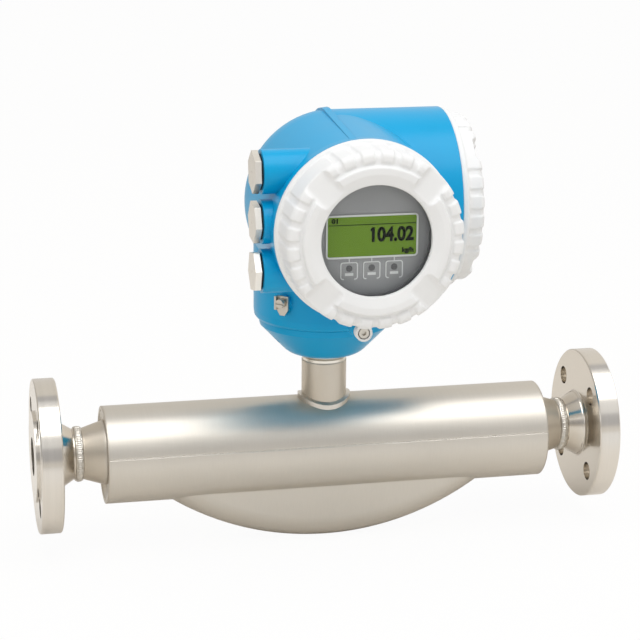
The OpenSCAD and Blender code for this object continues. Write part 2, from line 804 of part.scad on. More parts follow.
module electronics_module() {
    body_r = chamber_r - module_gap;
    right = split_x - front_x - 5;
    flange_z = -(front_reach - shoulder_y);
    vent_pitch = body_r / 4;
    color("#54585c") at_front() difference() {
        union() {
            translate([0, 0, -module_neck]) cylinder(r = body_r, h = module_neck - 3);
            translate([0, 0, flange_z]) cylinder(r = chamber_r + 2, h = 5);
            intersection() {
                translate([0, 0, -module_back]) cylinder(r = body_r, h = module_back - module_neck + 10);
                translate([-body_r, -body_r, -module_back])
                    cube([body_r + right, 2 * body_r, module_back]);
            }
        }
        for (i = [-2:2]) translate([i * vent_pitch - 2, -body_r, -4.5]) cube([4, 2 * body_r, 2]);
    }
}

// The board on the module's back, with its largest parts behind it.
module main_board() {
    board_t = 1.6;
    half = 0.7 * chamber_r;
    right = split_x - front_x - 7;
    chip = 0.17 * chamber_r;
    color("#1f6b3a") at_front() translate([0, 0, -module_back]) {
        translate([-half, -half, -board_t]) cube([half + right, 2 * half, board_t]);
        for (i = [0:3]) translate([-half + (0.5 + 1.6 * i) * chip, -2.5 * chip, -7])
            cube([chip, 1.4 * chip, 6]);
        translate([-2.5 * chip, chip, -9]) cube([2.8 * chip, 2 * chip, 8]);
        translate([1.6 * chip, 1.6 * chip, -board_t - 12]) cylinder(r = chip / 1.5, h = 12.5);
    }
}

module display_carrier() {
    color("#54585c") at_front() translate([0, 0, -3])
        ring(cover_bore_r - 3, bearing_r + fit_gap, carrier_h);
}

carrier_t = 4;

module terminal_carrier() {
    color("#54585c") at_side() translate([0, 0, -(side_x - split_x - partition_t)])
        cylinder(r = side_thread_r - 3.3, h = carrier_t);
}

// Two rows of terminals, each with a hole for its screw.
module terminal_block() {
    ways = 8;
    way_w = 0.12 * side_thread_r;
    row_w = 0.34 * side_thread_r;
    row_h = 15;
    depth = side_x - split_x - partition_t - carrier_t;
    color("#3b7f4c") at_side() translate([0, 0, -depth]) difference() {
        for (row = [-1, 1]) translate([(0.9 * row - 0.5) * row_w, -ways * way_w / 2, 0])
            cube([row_w, ways * way_w, row_h]);
        for (row = [-1, 1], i = [0:ways - 1])
            translate([0.9 * row * row_w, (i + 0.5 - ways / 2) * way_w, row_h - 6])
                cylinder(r = way_w / 3.2, h = 7, $fn = 24);
    }
}

// ---- Display ---------------------------------------------------------------------------------

screen_y = 0.8;
key_y = -23;
screen_t = 0.8;

module display_module() {
    back = carrier_h - 3 + swivel_gap;
    face = display_rise - screen_t;
    edge = 2;
    color("#85878a") at_front() rotate_extrude() polygon([
        [0, -2], [bearing_r, -2], [bearing_r, back], [display_r - edge, back],
        [display_r, back + edge], [display_r, face - edge], [display_r - edge, face], [0, face]]);
}

module display_screen() {
    color("#6f9a32") at_front() translate([-screen_w / 2, screen_y - screen_h / 2, display_rise - screen_t])
        cube([screen_w, screen_h, screen_t]);
}

module touch_keys() {
    color("#a9acb0") at_front() for (i = [-1:1])
        translate([i * key_pitch - key_w / 2, key_y - key_w / 2, display_rise - screen_t])
            cube([key_w, key_w, screen_t / 2]);
}

// ---- Covers ----------------------------------------------------------------------------------

shoulder_r = 5;          // rounding of a cover's shoulder
pad_w = 2.8;             // how far the ribs' ends stand off the raised face
face_rise = 2;           // height of the raised face over the ribs' ends

// Outside of a cover, with the rim's plane at z = 0. The ribs between its grooves turn over the
// shoulder and end round the raised face.
module cover_form(ring_d, grip_r, h) {
    ring_r = ring_d / 2;
    face_r = grip_r - face_inset;
    pad_r = face_r + pad_w;
    turn_r = min(shoulder_r, h / 5);
    pad_z = h - face_rise;
    floor_z = pad_z - groove_depth;
    difference() {
        rotate_extrude($fn = 180) polygon(concat(
            [[0, 0], [ring_r - 0.6, 0], [ring_r, 0.6], [ring_r, ring_t - 1], [ring_r - 1, ring_t],
             [grip_r, ring_t]],
            arc(grip_r - turn_r, pad_z - turn_r, turn_r, 0, 90),
            [[pad_r, pad_z], [pad_r, floor_z], [face_r, floor_z], [face_r, h - 0.8], [face_r - 0.8, h],
             [0, h]]));
        for (i = [0:3]) {
            for (k = [0:groove_count - 1])
                rotate([90, 0, 90 * i + (k - (groove_count - 1) / 2) * groove_pitch])
                    linear_extrude(height = groove_w, center = true) polygon(concat(
                        [[grip_r - groove_depth, ring_t + 0.5]],
                        arc(grip_r - groove_depth - turn_r, floor_z - turn_r, turn_r, 0, 90),
                        [[pad_r - 0.5, floor_z], [pad_r - 0.5, h + over], [grip_r + 5, h + over],
                         [grip_r + 5, ring_t + 0.5]]));
            rotate([0, 0, 45 + 90 * i]) tool_recess(grip_r, h);
        }
    }
}

// A flat-bottomed trough that runs out from the window's bevel and deepens to the rim.
module tool_recess(grip_r, h) {
    corner = 4;
    half = recess_w / 2;
    run = grip_r - window_r - 2.5;
    tilt = atan((recess_depth - 1.6) / run);
    translate([grip_r, 0, h - recess_depth]) rotate([90, 0, 90]) rotate([tilt, 0, 0])
        translate([0, 0, -run]) linear_extrude(height = run + 8) polygon(concat(
            arc(corner - half, corner, corner, 180, 270, 6), arc(half - corner, corner, corner, 270, 360, 6),
            [[half, 4 * recess_depth], [-half, 4 * recess_depth]]));
}

module cover_spigot(thread_r, bore_r) {
    translate([0, 0, -thread_l]) ring(thread_r, bore_r, thread_l + over);
}

// Groove for the seal in the ring's back face.
module seal_groove(ring_d) {
    translate([0, 0, -over])
        ring(ring_d / 2 - 2.5 + seal_gap, ring_d / 2 - 5 - seal_gap, over + seal_t + 2 * seal_gap);
}

module cover_seal(ring_d) {
    color(black) translate([0, 0, seal_gap]) ring(ring_d / 2 - 2.5, ring_d / 2 - 5, seal_t);
}

module front_cover() {
    color(white) at_front() difference() {
        union() {
            cover_form(front_ring_d, front_grip_r, front_cover_h);
            cover_spigot(front_thread_r, cover_bore_r);
        }
        translate([0, 0, -over]) cylinder(r = cover_bore_r, h = glass_z - glass_t - 3 + over);
        translate([0, 0, -over]) cylinder(r = glass_r, h = glass_z + over);
        cylinder(r = window_r, h = front_cover_h + over);
        translate([0, 0, window_lip_z])
            cylinder(r1 = window_r, r2 = bevel_r, h = front_cover_h - window_lip_z);
        seal_groove(front_ring_d);
    }
}

module window_glass() {
    color("#cfe3e6") at_front() translate([0, 0, glass_z - glass_t]) cylinder(r = glass_r, h = glass_t);
}

module glass_retainer() {
    t = 2.5;
    color(black) at_front() translate([0, 0, glass_z - glass_t - t]) ring(glass_r, window_r + 1, t);
}

module side_cover() {
    face_t = 6.5;
    color(white) at_side() difference() {
        union() {
            cover_form(side_ring_d, side_grip_r, side_cover_h);
            cover_spigot(side_thread_r, side_thread_r - cover_wall);
        }
        translate([0, 0, -over]) cylinder(r = side_thread_r - cover_wall, h = side_cover_h - face_t + over);
        seal_groove(side_ring_d);
    }
}

// ---- Plugs and clamps ------------------------------------------------------------------------

plug_seat = plug_seal_t + 2 * seal_gap;

module plug_seal(row) {
    color(black) at_boss(row) translate([0, 0, seal_gap])
        ring(plug_flats / 2 - 0.5, cable_d / 2 + seal_gap, plug_seal_t);
}

module plug(row, turn) {
    color(bright_steel) at_boss(row) rotate([0, 0, turn]) {
        difference() {
            translate([0, 0, plug_seat]) cylinder(d = plug_flats / cos(30), h = plug_h, $fn = 6);
            translate([0, 0, plug_seat + plug_h - 0.6]) cylinder(d = 2, h = over, $fn = 24);
        }
        translate([0, 0, -plug_l]) cylinder(d = cable_d, h = plug_l + plug_seat, $fn = 64);
    }
}

clamp_l = 6.6;
clamp_head = 3.6;

module cover_clamp(ring_d, angle) {
    color(white) at_clamp(ring_d, angle) translate([0, 0, -lug_gap + swivel_gap]) difference() {
        cylinder(d = clamp_d, h = clamp_l);
        translate([0, 0, -over])
            cylinder(d = clamp_screw_d + 2 * thread_gap, h = clamp_l + 2 * over, $fn = 32);
        translate([0, 0, clamp_l - clamp_head])
            cylinder(d = 2 * clamp_screw_d + 2 * thread_gap, h = clamp_l, $fn = 48);
    }
}

module clamp_screw(ring_d, angle) {
    seat = -lug_gap + 2 * swivel_gap + clamp_l - clamp_head;
    head_h = clamp_head - 0.6;
    color(bright_steel) at_clamp(ring_d, angle) difference() {
        union() {
            translate([0, 0, seat - lug_depth]) cylinder(d = clamp_screw_d, h = lug_depth + over, $fn = 32);
            translate([0, 0, seat]) cylinder(d = 1.85 * clamp_screw_d, h = head_h, $fn = 48);
        }
        translate([0, 0, seat + head_h - 2]) cylinder(d = clamp_screw_d * 0.87, h = 2 + over, $fn = 6);
    }
}

// ---- Nodes -----------------------------------------------------------------------------------

flange(false);  // inlet_flange
flange(true);  // outlet_flange
butt_weld(false);  // inlet_weld
butt_weld(true);  // outlet_weld
manifold(false);  // inlet_manifold
manifold(true);  // outlet_manifold
upper_shell();
belly_shell();
long_seam(-1);  // front_seam
long_seam(1);  // rear_seam
end_weld(false);  // inlet_end_weld
end_weld(true);  // outlet_end_weld
color(steel) measuring_tube(-1);  // front_measuring_tube
color(steel) measuring_tube(1);  // rear_measuring_tube
brace(false);  // inlet_brace
brace(true);  // outlet_brace
coil(0);  // drive_coil
magnet(0);  // drive_magnet
coil(pickoff_angle);  // inlet_pickoff_coil
magnet(pickoff_angle);  // inlet_pickoff_magnet
coil(-pickoff_angle);  // outlet_pickoff_coil
magnet(-pickoff_angle);  // outlet_pickoff_magnet
temperature_sensor();
neck_tube();
neck_weld_bead();
swivel_spigot();
swivel_seal();
feedthrough();
neck_adapter();
adapter_gasket();
set_screw();
housing();
electronics_module();
main_board();
display_carrier();
terminal_carrier();
terminal_block();
ground_clamp();
ground_screw();
display_module();
display_screen();
touch_keys();
at_front() cover_seal(front_ring_d);  // front_cover_seal
front_cover();
window_glass();
glass_retainer();
at_side() cover_seal(side_ring_d);  // side_cover_seal
side_cover();
plug_seal(1);  // upper_plug_seal
plug_seal(0);  // middle_plug_seal
plug_seal(-1);  // lower_plug_seal
plug(1, 8);  // upper_plug
plug(0, 22);  // middle_plug
plug(-1, 40);  // lower_plug
at_front() cover_clamp(front_ring_d, clamp_front_angle);  // front_clamp
at_front() clamp_screw(front_ring_d, clamp_front_angle);  // front_clamp_screw
at_side() cover_clamp(side_ring_d, clamp_side_angle);  // side_clamp
at_side() clamp_screw(side_ring_d, clamp_side_angle);  // side_clamp_screw
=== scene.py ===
import json
import math
import bmesh
import bpy
from mathutils import Matrix, Vector


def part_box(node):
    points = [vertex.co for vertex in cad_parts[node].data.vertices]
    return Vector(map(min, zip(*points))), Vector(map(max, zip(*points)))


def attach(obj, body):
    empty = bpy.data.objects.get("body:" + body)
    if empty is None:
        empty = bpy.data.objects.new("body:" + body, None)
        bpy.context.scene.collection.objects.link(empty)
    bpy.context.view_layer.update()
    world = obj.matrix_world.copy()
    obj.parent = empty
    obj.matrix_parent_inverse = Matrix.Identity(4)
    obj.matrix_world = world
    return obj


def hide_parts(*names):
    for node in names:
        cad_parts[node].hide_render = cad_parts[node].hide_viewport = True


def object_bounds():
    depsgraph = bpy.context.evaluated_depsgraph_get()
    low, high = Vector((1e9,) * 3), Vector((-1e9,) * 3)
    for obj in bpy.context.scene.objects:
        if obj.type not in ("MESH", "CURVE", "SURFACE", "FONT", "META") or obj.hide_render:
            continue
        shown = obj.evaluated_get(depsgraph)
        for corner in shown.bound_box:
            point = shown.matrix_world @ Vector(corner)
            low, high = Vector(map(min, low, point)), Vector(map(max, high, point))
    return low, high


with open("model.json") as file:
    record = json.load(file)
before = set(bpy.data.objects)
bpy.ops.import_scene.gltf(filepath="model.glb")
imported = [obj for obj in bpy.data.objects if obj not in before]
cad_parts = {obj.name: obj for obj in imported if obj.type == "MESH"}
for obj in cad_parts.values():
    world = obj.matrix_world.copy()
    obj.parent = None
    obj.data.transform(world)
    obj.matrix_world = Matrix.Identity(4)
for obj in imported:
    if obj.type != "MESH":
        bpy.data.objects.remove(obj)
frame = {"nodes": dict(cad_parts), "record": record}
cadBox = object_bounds()
nodes = frame["nodes"]
mm = 0.001

# where the frame puts the parts that the looks are built on
flangeLow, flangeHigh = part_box("inlet_flange")
weldLow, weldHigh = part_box("inlet_weld")
tubeLow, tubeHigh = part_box("upper_shell")
seamLow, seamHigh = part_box("front_seam")
screenLow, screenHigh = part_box("display_screen")
neckLow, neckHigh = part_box("neck_tube")
flowZ = (flangeLow.z + flangeHigh.z) / 2
midX = (neckLow.x + neckHigh.x) / 2
neckRadius = (neckHigh.x - neckLow.x) / 2
bodyRadius = (tubeHigh.y - tubeLow.y) / 2
bodyZ = tubeHigh.z - bodyRadius
print("frame loaded:", len(nodes), "nodes")


class Wire:                             # a socket that can be added, subtracted, multiplied and raised
    def __init__(self, bench, socket):
        self.bench = bench
        self.socket = socket

    def maths(self, operation, *values):
        return self.bench.node("ShaderNodeMath", {"operation": operation}, dict(enumerate(values)))

    def __add__(self, other):
        return self.maths("ADD", self, other)

    def __radd__(self, other):
        return self.maths("ADD", other, self)

    def __sub__(self, other):
        return self.maths("SUBTRACT", self, other)

    def __rsub__(self, other):
        return self.maths("SUBTRACT", other, self)

    def __mul__(self, other):
        return self.maths("MULTIPLY", self, other)

    def __pow__(self, other):
        return self.maths("POWER", self, other)

    def root(self):
        return self.maths("SQRT", self)

    def wave(self):
        return self.maths("SINE", self)

    def turn(self, other):
        return self.maths("ARCTAN2", self, other)

    def orMore(self, other):
        return self.maths("MAXIMUM", self, other)

    def above(self, edge, soft):        # 0 below the edge, 1 above it
        limits = {"Value": self, "From Min": edge - soft, "From Max": edge + soft}
        return self.bench.node("ShaderNodeMapRange", {"interpolation_type": "SMOOTHSTEP"}, limits)

    def below(self, edge, soft):
        return 1 - self.above(edge, soft)


class Bench:                            # makes the nodes of one tree
    def __init__(self, tree):
        self.tree = tree

    def node(self, kind, settings=None, values=None, out=0):
        made = self.tree.nodes.new(kind)
        for name, value in (settings or {}).items():
            if name == "stops":
                self.setStops(made.color_ramp, value)
            else:
                setattr(made, name, value)
        for name, value in (values or {}).items():
            self.feed(self.find(made.inputs, name), value)
        return Wire(self, self.find(made.outputs, out))

    def find(self, sockets, name):
        if isinstance(name, int):
            return sockets[name]
        return next(s for s in sockets if name in (s.identifier, s.name))

    def feed(self, socket, value):
        if isinstance(value, Wire):
            self.tree.links.new(value.socket, socket)
        else:
            socket.default_value = value

    def setStops(self, ramp, stops):
        for spare in list(ramp.elements)[1:]:
            ramp.elements.remove(spare)
        for index, (place, colour) in enumerate(stops):
            element = ramp.elements[0] if index == 0 else ramp.elements.new(place)
            element.position = place
            element.color = colour

    def place(self):
        return self.node("ShaderNodeTexCoord", out="Object")

    def parts(self, vector):
        split = self.node("ShaderNodeSeparateXYZ", values={0: vector}).socket.node
        return [Wire(self, out) for out in split.outputs]

    def joined(self, x, y, z):
        return self.node("ShaderNodeCombineXYZ", values={0: x, 1: y, 2: z})

    def noise(self, vector, scale, detail=3.0, rough=0.5):
        sizes = {"Vector": vector, "Scale": scale, "Detail": detail, "Roughness": rough}
        return self.node("ShaderNodeTexNoise", values=sizes)

    def mixed(self, factor, first, second):
        colours = {"Factor_Float": factor, "A_Color": first, "B_Color": second}
        return self.node("ShaderNodeMix", {"data_type": "RGBA"}, colours, out="Result_Color")

    def bump(self, height, distance, strength=1.0, over=None):
        relief = {"Height": height, "Distance": distance, "Strength": strength}
        if over:
            relief["Normal"] = over
        return self.node("ShaderNodeBump", values=relief)


class Paint(Bench):                     # a bench on a new material
    def __init__(self, name, constants):
        self.material = bpy.data.materials.new(name)
        self.material.use_nodes = True
        super().__init__(self.material.node_tree)
        self.surface = self.tree.nodes["Principled BSDF"]
        for socket, value in constants.items():
            self.surface.inputs[socket].default_value = value

    def set(self, socket, value):
        self.feed(self.surface.inputs[socket], value)

    def aroundFlow(self):               # place along the flow, distance from its line, and the other two
        x, y, z = self.parts(self.place())
        return x, ((y * y) + (z * z)).root(), y, z


def newObject(name, data):
    made = bpy.data.objects.new(name, data)
    bpy.context.scene.collection.objects.link(made)
    return made


def grownMesh(piece):                   # the piece's mesh as its modifiers leave it
    bpy.context.view_layer.update()
    return bpy.data.meshes.new_from_object(piece.evaluated_get(bpy.context.evaluated_depsgraph_get()))


def rgb(r, g, b):
    return (r, g, b, 1.0)


def shaded(colour, share):
    return tuple(min(1.0, c * share) for c in colour[:3]) + (1.0,)


steelLook = {
    "flange": rgb(0.74, 0.70, 0.64),
    "body": rgb(0.66, 0.62, 0.555),
    "weld": rgb(0.68, 0.645, 0.585),
    "neck": rgb(0.86, 0.82, 0.74),
    "tint": rgb(0.52, 0.43, 0.31),      # what a weld's heat leaves beside it, and the colour of the painted shade on the cones and flange hubs
    "tintReach": 13 * mm,
    "endPaintedShade": 0.4,                     # how far painted shade darkens the cones and the flange hubs toward that colour
    "lineScale": 1500.0,
    "bare": 0.88,                       # the rest is the dull skin that pickling leaves
    "edge": 2.0 * mm,
    "machinedEdge": 0.4 * mm,
}
edgeSamples = 6                         # how finely a rounded edge is worked out


def turnedSteel(name, colour, roughness, contrast, lineDepth):      # lathe lines round the flow line, with painted shade on the hubs
    paint = Paint(name, {"Metallic": 1.0, "Roughness": roughness, "Base Color": colour})
    x, radius = paint.aroundFlow()[:2]
    fine = paint.noise(paint.joined(x, radius, 0), steelLook["lineScale"], 2.0)
    broad = paint.noise(paint.joined(x, radius, 0), 260.0, 2.0)
    cloud = paint.noise(paint.place(), 28.0, 3.0)
    shade = fine * 0.5 + broad * 0.3 + cloud * 0.2
    plain = paint.mixed(shade, shaded(colour, 1 - contrast), shaded(colour, 1 + contrast / 2))
    # painted shade: the flange hubs, and everything between them, darkened toward the heat tint's colour
    hubs = x.above(weldLow.x - 10 * mm, 8 * mm) * x.below(2 * midX - weldLow.x + 10 * mm, 8 * mm)
    paint.set("Base Color", paint.mixed(hubs * steelLook["endPaintedShade"], plain, steelLook["tint"]))
    paint.set("Roughness", roughness - 0.06 + shade * 0.12)
    paint.set("Normal", paint.bump(fine, lineDepth, 0.35))
    return paint.material


def bodySteel(name, colour, roughness):                             # pickled tube with heat tint round the neck weld, and painted shade on the cones
    look = steelLook
    paint = Paint(name, {"Metallic": look["bare"], "Roughness": roughness, "Base Color": colour})
    x, radius, y, z = paint.aroundFlow()
    grain = paint.noise(paint.place(), 1900.0, 2.0)
    lines = paint.noise(paint.joined(x, radius * 0.08, z * 0.08), 1300.0, 2.0)
    cloud = paint.noise(paint.place(), 16.0, 4.0, 0.6)
    shade = grain * 0.25 + lines * 0.3 + cloud * 0.45
    plain = paint.mixed(shade, shaded(colour, 0.86), shaded(colour, 1.06))
    fromNeck = ((x - midX) ** 2 + y ** 2).root()
    heat = fromNeck.below(neckRadius + look["tintReach"] / 2, look["tintReach"] / 2) * z.above(0.0, 1 * mm)
    # painted shade: the cones darkened throughout toward the heat tint's colour
    cones = x.below(tubeLow.x, 3 * mm) + x.above(tubeHigh.x, 3 * mm)
    # real heat tint round the neck weld, plus painted shade on the cones
    tinted = heat * cloud * 0.7 + cones * look["endPaintedShade"]
    paint.set("Base Color", paint.mixed(tinted, plain, look["tint"]))
    paint.set("Roughness", roughness - 0.06 + shade * 0.12)
    rounded = paint.node("ShaderNodeBevel", {"samples": edgeSamples}, {"Radius": look["edge"]})
    paint.set("Normal", paint.bump(grain * 0.6 + lines * 0.4, 0.00003, 0.5, rounded))
    return paint.material


def neckSteel(name, colour, roughness):                             # lathe lines round the neck
    paint = Paint(name, {"Metallic": 1.0, "Roughness": roughness, "Base Color": colour})
    x, y, z = paint.parts(paint.place())
    radius = ((x - midX) ** 2 + y ** 2).root()
    fine = paint.noise(paint.joined(radius, 0, z), 1700.0, 2.0)
    cloud = paint.noise(paint.place(), 50.0, 3.0)
    shade = fine * 0.5 + cloud * 0.5
    paint.set("Base Color", paint.mixed(shade, shaded(colour, 0.82), shaded(colour, 1.1)))
    paint.set("Roughness", roughness - 0.06 + fine * 0.12)
    paint.set("Normal", paint.bump(fine, 0.00004, 0.4))
    return paint.material


def weldSteel(name, colour):
    paint = Paint(name, {"Metallic": 1.0, "Roughness": 0.3, "Base Color": colour})
    spots = paint.noise(paint.place(), 420.0, 3.0)
    cloud = paint.noise(paint.place(), 60.0, 2.0)
    shade = spots * 0.5 + cloud * 0.5
    paint.set("Base Color", paint.mixed(shade, shaded(colour, 0.74), shaded(colour, 1.15)))
    paint.set("Roughness", 0.2 + cloud * 0.2)
    paint.set("Normal", paint.bump(spots, 0.0001, 0.5))
    return paint.material


def machinedSteel(name, colour, roughness):
    paint = Paint(name, {"Metallic": 1.0, "Roughness": roughness, "Base Color": colour})
    grain = paint.noise(paint.place(), 2400.0, 2.0)
    cloud = paint.noise(paint.place(), 90.0, 3.0)
    shade = grain * 0.4 + cloud * 0.6
    paint.set("Base Color", paint.mixed(shade, shaded(colour, 0.84), shaded(colour, 1.08)))
    paint.set("Roughness", roughness - 0.06 + cloud * 0.12)
    rounded = paint.node("ShaderNodeBevel", {"samples": edgeSamples}, {"Radius": steelLook["machinedEdge"]})
    paint.set("Normal", paint.bump(grain, 0.00002, 0.4, rounded))
    return paint.material


coatLook = {
    "blue": rgb(0.0, 0.335, 0.625),
    "white": rgb(0.795, 0.80, 0.80),
    "peelScale": 750.0,
    "edge": 0.7 * mm,
}


def powderCoat(name, colour, roughness, gloss, peel):
    paint = Paint(name, {"Base Color": colour, "Roughness": roughness, "Specular IOR Level": gloss})
    orangePeel = paint.noise(paint.place(), coatLook["peelScale"], 2.0)
    cloud = paint.noise(paint.place(), 22.0, 3.0)
    paint.set("Base Color", paint.mixed(cloud, shaded(colour, 0.95), shaded(colour, 1.03)))
    paint.set("Roughness", roughness - 0.04 + cloud * 0.08)
    rounded = paint.node("ShaderNodeBevel", {"samples": edgeSamples}, {"Radius": coatLook["edge"]})
    paint.set("Normal", paint.bump(orangePeel, peel, 0.5, rounded))
    return paint.material


def mouldedPlastic(name, colour, roughness, grainDepth=0.00004, gloss=0.5):
    paint = Paint(name, {"Base Color": colour, "Roughness": roughness, "Specular IOR Level": gloss})
    grain = paint.noise(paint.place(), 1400.0, 2.0)
    cloud = paint.noise(paint.place(), 40.0, 2.0)
    paint.set("Base Color", paint.mixed(cloud, shaded(colour, 0.93), shaded(colour, 1.04)))
    paint.set("Roughness", roughness - 0.05 + grain * 0.1)
    paint.set("Normal", paint.bump(grain, grainDepth, 0.5))
    return paint.material


def clearGlass(name):
    paint = Paint(name, {})
    clear = paint.node("ShaderNodeBsdfTransparent", values={"Color": rgb(0.985, 0.99, 0.99)})
    shine = paint.node("ShaderNodeBsdfGlossy", values={"Color": rgb(1, 1, 1), "Roughness": 0.02})
    edge = paint.node("ShaderNodeFresnel", values={"IOR": 1.3})
    both = paint.node("ShaderNodeMixShader", values={0: edge * 0.5, 1: clear, 2: shine})
    paint.feed(paint.tree.nodes["Material Output"].inputs["Surface"], both)
    return paint.material


screenCell = 0.48 * mm


def backlitScreen(name):
    # painted light: the screen's emission makes it glow, brightening it in the shaded window recess
    paint = Paint(name, {"Roughness": 0.3, "Specular IOR Level": 0.2, "Emission Strength": 0.3})
    x, y, z = paint.parts(paint.place())
    cells = (x * (2 * math.pi / screenCell)).wave() * (z * (2 * math.pi / screenCell)).wave()
    glow = paint.noise(paint.place(), 30.0, 1.0)
    tint = paint.mixed(glow * 0.8 + cells * 0.1, rgb(0.095, 0.185, 0.008), rgb(0.125, 0.225, 0.012))
    paint.set("Base Color", tint)
    paint.set("Emission Color", tint)
    return paint.material


paints = {
    "flange_steel": turnedSteel("turnedFlangeSteel", steelLook["flange"], 0.17, 0.14, 0.00003),
    "weld_steel": weldSteel("weldSteel", steelLook["weld"]),
    "body_steel": bodySteel("pickledBodySteel", steelLook["body"], 0.38),
    "inner_steel": turnedSteel("drawnTubeSteel", steelLook["weld"], 0.3, 0.12, 0.00002),
    "coil_copper": machinedSteel("enamelledCopper", rgb(0.62, 0.27, 0.12), 0.4),
    "magnet_steel": machinedSteel("platedMagnet", rgb(0.42, 0.44, 0.46), 0.25),
    "sensor_black": mouldedPlastic("sensorBlack", rgb(0.02, 0.02, 0.022), 0.5),
    "spigot_steel": neckSteel("turnedNeckSteel", steelLook["neck"], 0.3),
    "seal_rubber": mouldedPlastic("sealRubber", rgb(0.012, 0.012, 0.013), 0.7),
    "blue_coat": powderCoat("bluePowderCoat", coatLook["blue"], 0.3, 0.26, 0.00005),
    "module_plastic": mouldedPlastic("modulePlastic", rgb(0.045, 0.048, 0.052), 0.5),
    "board_green": mouldedPlastic("boardGreen", rgb(0.01, 0.12, 0.04), 0.35),
    "terminal_green": mouldedPlastic("terminalGreen", rgb(0.03, 0.25, 0.09), 0.4),
    "screw_steel": machinedSteel("screwSteel", rgb(0.62, 0.585, 0.52), 0.3),
    "display_grey": mouldedPlastic("displayGrey", rgb(0.375, 0.38, 0.395), 0.42),
    "screen_green": backlitScreen("backlitScreen"),
    "key_grey": mouldedPlastic("keyGrey", rgb(0.37, 0.375, 0.385), 0.42),
    "white_coat": powderCoat("whitePowderCoat", coatLook["white"], 0.5, 0.4, 0.00007),
    "window_glass": clearGlass("windowGlass"),
    "retainer_black": mouldedPlastic("retainerGrey", rgb(0.14, 0.14, 0.15), 0.45),
    "plug_steel": machinedSteel("nickelPlug", rgb(0.86, 0.83, 0.77), 0.33),
    "print_white": mouldedPlastic("printWhite", rgb(0.80, 0.82, 0.82), 0.45, 0.00001),
    "print_black": mouldedPlastic("printBlack", rgb(0.004, 0.006, 0.002), 0.5, 0.00001, 0.05),
    "key_well": mouldedPlastic("keyWell", rgb(0.12, 0.12, 0.125), 0.35, 0.00001),
}


def dress(piece, paint):
    piece.data.materials.clear()
    piece.data.materials.append(paint)


for part in frame["record"]["subparts"]:
    dress(nodes[part["node"]], paints[part["material_slot"]])
print("materials on", len(nodes), "nodes")


def addPiece(name, mesh, body, slot, paintName=None):
    piece = newObject(name, mesh)
    dress(piece, paints[paintName or slot])
    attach(piece, body)
    return piece


coatedEdges = {                         # a casting's edges, rounded by its blasting and its thick coat
    "grain": 0.75 * mm,
    "passes": 2,
    "faces": 0.6,                       # the share of the faces that the shape needs
    "merge": 0.001 * mm,                # corners of the solid's faces that are this close are one
}


def coatCover(node):
    bm = bmesh.new()
    bm.from_mesh(nodes[node].data)
    bmesh.ops.remove_doubles(bm, verts=bm.verts, dist=coatedEdges["merge"])
    merged = bpy.data.meshes.new(node + "Coated")
    bm.to_mesh(merged)
    bm.free()
    piece = newObject(node + "Coated", merged)
    skin = piece.modifiers.new("skin", "REMESH")
    skin.mode = "VOXEL"
    skin.voxel_size = coatedEdges["grain"]
    ease = piece.modifiers.new("ease", "SMOOTH")
    ease.iterations = coatedEdges["passes"]
    thin = piece.modifiers.new("thin", "DECIMATE")
    thin.ratio = coatedEdges["faces"]
    grown = grownMesh(piece)
    piece.modifiers.clear()
    piece.data = grown
    grown.shade_smooth()
    dress(piece, paints["white_coat"])
    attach(piece, node)
    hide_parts(node)
    print(node, "coated:", len(grown.polygons), "faces")


def meshFrom(name, bm):
    bmesh.ops.recalc_face_normals(bm, faces=bm.faces)
    mesh = bpy.data.meshes.new(name)
    bm.to_mesh(mesh)
    bm.free()
    return mesh


def roundedOutline(width, height, radius, steps=6):       # corner points, anticlockwise
    points = []
    corners = ((1, 1, 0), (-1, 1, 90), (-1, -1, 180), (1, -1, 270))
    for sideX, sideZ, start in corners:
        centre = Vector((sideX * (width / 2 - radius), sideZ * (height / 2 - radius)))
        for step in range(steps + 1):
            angle = math.radians(start + 90 * step / steps)
            points.append(centre + radius * Vector((math.cos(angle), math.sin(angle))))
    return points


def strip(bm, inner, outer, low, high, closed=True):      # a flat band between two outlines, facing -Y
    count = len(inner)
    rows = []
    for a, b in zip(inner, outer):
        rows.append([bm.verts.new((p.x, y, p.y)) for p, y in ((a, low), (a, high), (b, high), (b, low))])
    for i in range(count if closed else count - 1):
        now, then = rows[i], rows[(i + 1) % count]
        for k in range(4):
            bm.faces.new((now[k], now[(k + 1) % 4], then[(k + 1) % 4], then[k]))
    if not closed:
        bm.faces.new(rows[0])
        bm.faces.new(list(reversed(rows[-1])))


def stroke(points, width):                                # the two sides of a line of that width
    left, right = [], []
    for i, p in enumerate(points):
        ahead = points[min(i + 1, len(points) - 1)] - points[max(i - 1, 0)]
        side = Vector((-ahead.y, ahead.x)).normalized() * width / 2
        left.append(p + side)
        right.append(p - side)
    return left, right


